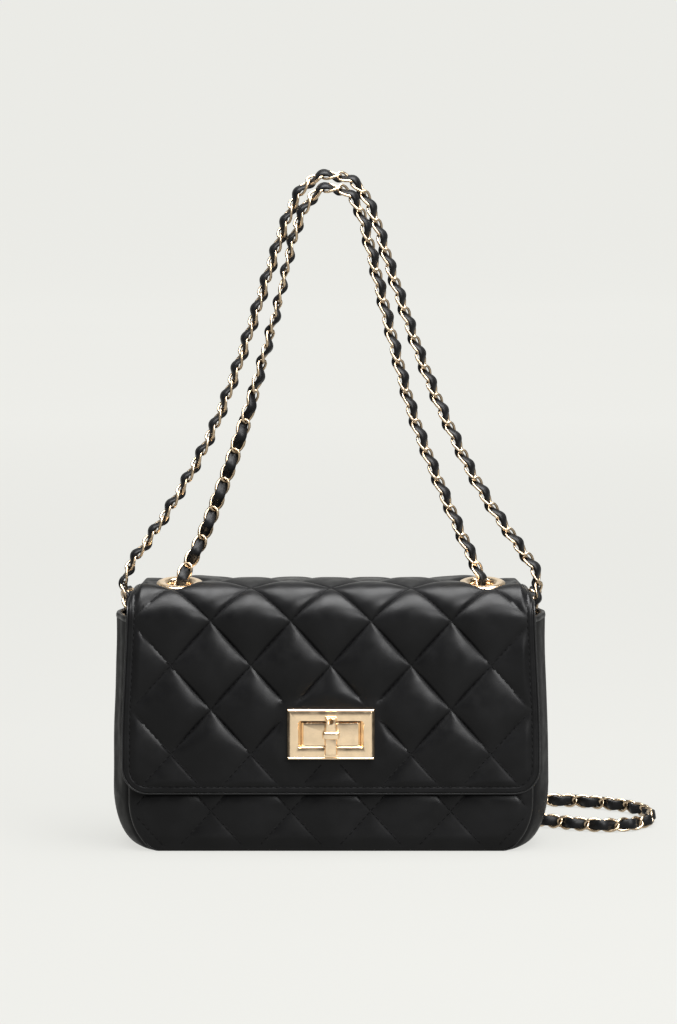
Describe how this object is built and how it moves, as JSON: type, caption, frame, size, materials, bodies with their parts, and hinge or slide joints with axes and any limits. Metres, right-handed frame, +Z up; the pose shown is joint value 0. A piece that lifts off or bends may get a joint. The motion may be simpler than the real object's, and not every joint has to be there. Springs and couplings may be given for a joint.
{
  "type": "chain shoulder bag",
  "caption": "Quilted leather shoulder bag with a folding flap, a turning bar lock, side gussets and woven chain straps.",
  "frame": {"origin": "middle of the bag's base, on the surface that it stands on, midway between the front and back seams", "axes": "+X to the right seen from the front, +Y towards the back, +Z up"},
  "size_m": [0.2946, 0.1629, 0.3599],
  "materials": {
    "quilted_leather": "smooth satin",
    "strap_lace": "smooth satin",
    "strap_links": "polished pale gold plate",
    "padding": "soft wadding",
    "lining_fabric": "plain woven",
    "gold_fittings": "polished pale gold plate",
    "magnet_steel": "plain",
    "base_board": "matt board"
  },
  "bodies": {
    "body": {"front_panel": "quilted_leather", "back_panel": "quilted_leather", "gusset_left": "quilted_leather", "gusset_right": "quilted_leather", "base_panel": "quilted_leather", "gusset_binding_left": "quilted_leather", "gusset_binding_right": "quilted_leather", "mouth_binding": "quilted_leather", "pocket_binding": "quilted_leather", "flap_top": "quilted_leather", "ring_tab_left": "quilted_leather", "ring_tab_right": "quilted_leather", "lace_outer": "strap_lace", "lace_inner": "strap_lace", "lace_long": "strap_lace", "links_outer": "strap_links", "links_inner": "strap_links", "links_long": "strap_links", "front_padding": "padding", "back_padding": "padding", "flap_top_padding": "padding", "lining_left": "lining_fabric", "lining_right": "lining_fabric", "lining_base": "lining_fabric", "lining_front": "lining_fabric", "lining_back": "lining_fabric", "inner_pocket": "lining_fabric", "flap_top_lining": "lining_fabric", "eyelet_left": "gold_fittings", "eyelet_right": "gold_fittings", "eyelet_washer_left": "gold_fittings", "eyelet_washer_right": "gold_fittings", "strap_stop_left": "gold_fittings", "strap_stop_right": "gold_fittings", "gusset_ring_left": "gold_fittings", "gusset_ring_right": "gold_fittings", "body_magnet": "magnet_steel", "base_board": "base_board"},
    "flap": {"flap_front": "quilted_leather", "flap_padding": "padding", "flap_lining": "lining_fabric", "flap_magnet": "magnet_steel", "lock_plate": "gold_fittings", "lock_island": "gold_fittings", "lock_back_plate": "magnet_steel", "lock_prongs": "gold_fittings"},
    "turn_bar": {"turn_bar": "gold_fittings", "turn_pin": "gold_fittings"}
  },
  "joints": [
    {"name": "flap_fold", "type": "hinge", "parent": "body", "child": "flap", "pos_m": [0, -0.014, 0.1405], "axis": [-1, 0, 0], "range_deg": [0, 125]},
    {"name": "lock_turn", "type": "hinge", "parent": "flap", "child": "turn_bar", "pos_m": [0, -0.042, 0.064], "axis": [0, -1, 0], "range_deg": [0, 90]}
  ]
}
